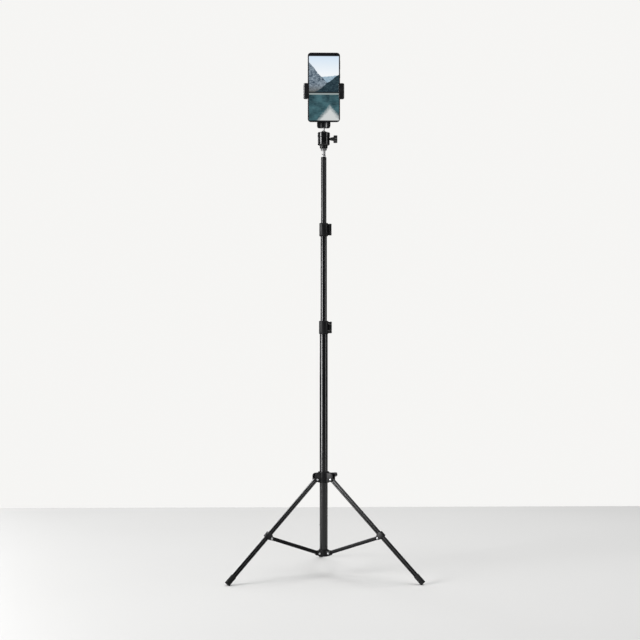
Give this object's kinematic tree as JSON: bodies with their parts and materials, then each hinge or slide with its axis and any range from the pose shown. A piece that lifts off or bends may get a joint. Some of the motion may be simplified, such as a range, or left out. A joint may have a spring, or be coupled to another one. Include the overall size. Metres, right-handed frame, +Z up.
{
  "type": "phone on a light-stand tripod",
  "caption": "Smartphone held upright in a spring clamp on a ball head, on a folding black light-stand tripod with a telescopic mast.",
  "frame": {"origin": "on the floor, at the centre of the footprint's bounding box (the mast stands 63.3 mm in front of it)", "axes": "+Z up along the mast, the screen faces -Y, the head lock knob points to +X"},
  "size_m": [0.4536, 0.3936, 1.2257],
  "materials": {
    "black_tube": "semi-gloss black coated tube",
    "bright_steel": "bright plated rivets, pins and rods",
    "spigot_steel": "turned and plated",
    "rubber": "matt black",
    "gloss_head": "glossy black",
    "phone_metal": "dark anodised frame",
    "screen_glass": "lit screen under clear glass",
    "phone_cover": "dark glossy back",
    "battery_wrap": "matt wrap",
    "board_green": "solder-masked board",
    "black_plastic": "fine-grained moulded black"
  },
  "bodies": {
    "base": {"lower_tube": "black_tube", "bottom_hub": "black_plastic", "lower_collar": "black_plastic", "lower_collar_pin": "bright_steel", "hub_rivet_left": "bright_steel", "hub_rivet_right": "bright_steel", "hub_rivet_rear": "bright_steel"},
    "lower_flip_lever": {"lower_lever": "black_plastic"},
    "spider": {"spider_collar": "black_plastic"},
    "spider_lock": {"spider_knob": "black_plastic"},
    "brace_left": {"brace_left": "black_tube"},
    "leg_left": {"leg_left": "black_tube", "leg_pin_left": "bright_steel", "leg_bracket_left": "black_plastic", "brace_rivet_left": "bright_steel", "foot_left": "rubber"},
    "brace_right": {"brace_right": "black_tube"},
    "leg_right": {"leg_right": "black_tube", "leg_pin_right": "bright_steel", "leg_bracket_right": "black_plastic", "brace_rivet_right": "bright_steel", "foot_right": "rubber"},
    "brace_rear": {"brace_rear": "black_tube"},
    "leg_rear": {"leg_rear": "black_tube", "leg_pin_rear": "bright_steel", "leg_bracket_rear": "black_plastic", "brace_rivet_rear": "bright_steel", "foot_rear": "rubber"},
    "mid_section": {"mid_tube": "black_tube", "mid_bush": "black_plastic", "upper_collar": "black_plastic", "upper_collar_pin": "bright_steel"},
    "upper_flip_lever": {"upper_lever": "black_plastic"},
    "top_section": {"top_tube": "black_tube", "top_bush": "black_plastic", "top_cap": "black_plastic", "spigot": "spigot_steel"},
    "head": {"head_housing": "gloss_head", "head_base": "gloss_head", "ball_seat": "black_plastic"},
    "head_lock": {"head_knob": "black_plastic"},
    "tilt_ball": {"ball": "gloss_head"},
    "clamp_arm": {"ball_stem": "bright_steel", "clamp_foot": "black_plastic"},
    "clamp": {"clamp_bar": "black_plastic", "fixed_pad": "rubber", "pivot_screw": "black_plastic", "clamp_spring": "bright_steel"},
    "jaw": {"moving_jaw": "black_plastic", "moving_pad": "rubber", "guide_rod_upper": "bright_steel", "guide_rod_lower": "bright_steel"},
    "phone": {"phone_frame": "phone_metal", "phone_screen": "screen_glass", "phone_back": "phone_cover", "camera_island": "phone_cover", "phone_battery": "battery_wrap", "phone_board": "board_green"},
    "power_button": {"power_key": "phone_metal"},
    "volume_button": {"volume_key": "phone_metal"}
  },
  "joints": [
    {"name": "spider_slide", "type": "slide", "parent": "base", "child": "spider", "axis": [0, 0, 1], "range_m": [0, 0.13934]},
    {"name": "spider_knob_turn", "type": "hinge", "parent": "spider", "child": "spider_lock", "pos_m": [0, -0.06333, 0.23503], "axis": [0.866, 0.5, 0], "range_deg": [0, 540]},
    {"name": "brace_left_fold", "type": "hinge", "parent": "base", "child": "brace_left", "pos_m": [-0.01299, -0.07083, 0.0526], "axis": [-0.5, 0.866, 0], "range_deg": [0, 67.92]},
    {"name": "leg_left_fold", "type": "hinge", "parent": "brace_left", "child": "leg_left", "pos_m": [-0.12401, -0.13493, 0.09796], "axis": [0.5, -0.866, 0], "range_deg": [0, 111.42]},
    {"name": "brace_right_fold", "type": "hinge", "parent": "base", "child": "brace_right", "pos_m": [0.01299, -0.07083, 0.0526], "axis": [-0.5, -0.866, 0], "range_deg": [0, 67.92]},
    {"name": "leg_right_fold", "type": "hinge", "parent": "brace_right", "child": "leg_right", "pos_m": [0.12401, -0.13493, 0.09796], "axis": [0.5, 0.866, 0], "range_deg": [0, 111.42]},
    {"name": "brace_rear_fold", "type": "hinge", "parent": "base", "child": "brace_rear", "pos_m": [0, -0.04833, 0.0526], "axis": [1, 0, 0], "range_deg": [0, 67.92]},
    {"name": "leg_rear_fold", "type": "hinge", "parent": "brace_rear", "child": "leg_rear", "pos_m": [0, 0.07987, 0.09796], "axis": [-1, 0, 0], "range_deg": [0, 111.42]},
    {"name": "lower_lever_flip", "type": "hinge", "parent": "base", "child": "lower_flip_lever", "pos_m": [0.0152, -0.06683, 0.5825], "axis": [0, 0, 1], "range_deg": [0, 110]},
    {"name": "mid_section_slide", "type": "slide", "parent": "base", "child": "mid_section", "axis": [0, 0, 1], "range_m": [-0.198, 0.23]},
    {"name": "upper_lever_flip", "type": "hinge", "parent": "mid_section", "child": "upper_flip_lever", "pos_m": [0.01455, -0.06683, 0.8125], "axis": [0, 0, 1], "range_deg": [0, 110]},
    {"name": "top_section_slide", "type": "slide", "parent": "mid_section", "child": "top_section", "axis": [0, 0, 1], "range_m": [-0.152, 0.255]},
    {"name": "head_pan", "type": "hinge", "parent": "top_section", "child": "head", "pos_m": [0, -0.06333, 1.0103], "axis": [0, 0, 1], "continuous": true},
    {"name": "head_knob_turn", "type": "hinge", "parent": "head", "child": "head_lock", "pos_m": [0, -0.06333, 1.0259], "axis": [1, 0, 0], "range_deg": [0, 360]},
    {"name": "ball_side_tilt", "type": "hinge", "parent": "head", "child": "tilt_ball", "pos_m": [0, -0.06333, 1.0378], "axis": [0, 1, 0], "range_deg": [-30, 30]},
    {"name": "ball_nod", "type": "hinge", "parent": "tilt_ball", "child": "clamp_arm", "pos_m": [0, -0.06333, 1.0378], "axis": [1, 0, 0], "range_deg": [-30, 30]},
    {"name": "clamp_turn", "type": "hinge", "parent": "clamp_arm", "child": "clamp", "pos_m": [0, -0.06333, 1.1363], "axis": [0, 1, 0], "range_deg": [-90, 90]},
    {"name": "jaw_slide", "type": "slide", "parent": "clamp", "child": "jaw", "axis": [1, 0, 0], "range_m": [0, 0.015], "stiffness_N_per_m": 300, "springref_m": -0.02},
    {"name": "phone_slide", "type": "slide", "parent": "clamp", "child": "phone", "axis": [0, 0, 1], "range_m": [0, 0.06]},
    {"name": "power_key_press", "type": "slide", "parent": "phone", "child": "power_button", "axis": [-1, 0, 0], "range_m": [0, 0.0003], "stiffness_N_per_m": 1000},
    {"name": "volume_key_press", "type": "slide", "parent": "phone", "child": "volume_button", "axis": [-1, 0, 0], "range_m": [0, 0.0003], "stiffness_N_per_m": 1000}
  ],
  "couplings": [
    {"joint": "brace_left_fold", "follows": "spider_slide", "rad_per_m": 8.501},
    {"joint": "leg_left_fold", "follows": "spider_slide", "rad_per_m": 13.95},
    {"joint": "brace_right_fold", "follows": "spider_slide", "rad_per_m": 8.501},
    {"joint": "leg_right_fold", "follows": "spider_slide", "rad_per_m": 13.95},
    {"joint": "brace_rear_fold", "follows": "spider_slide", "rad_per_m": 8.501},
    {"joint": "leg_rear_fold", "follows": "spider_slide", "rad_per_m": 13.95}
  ]
}
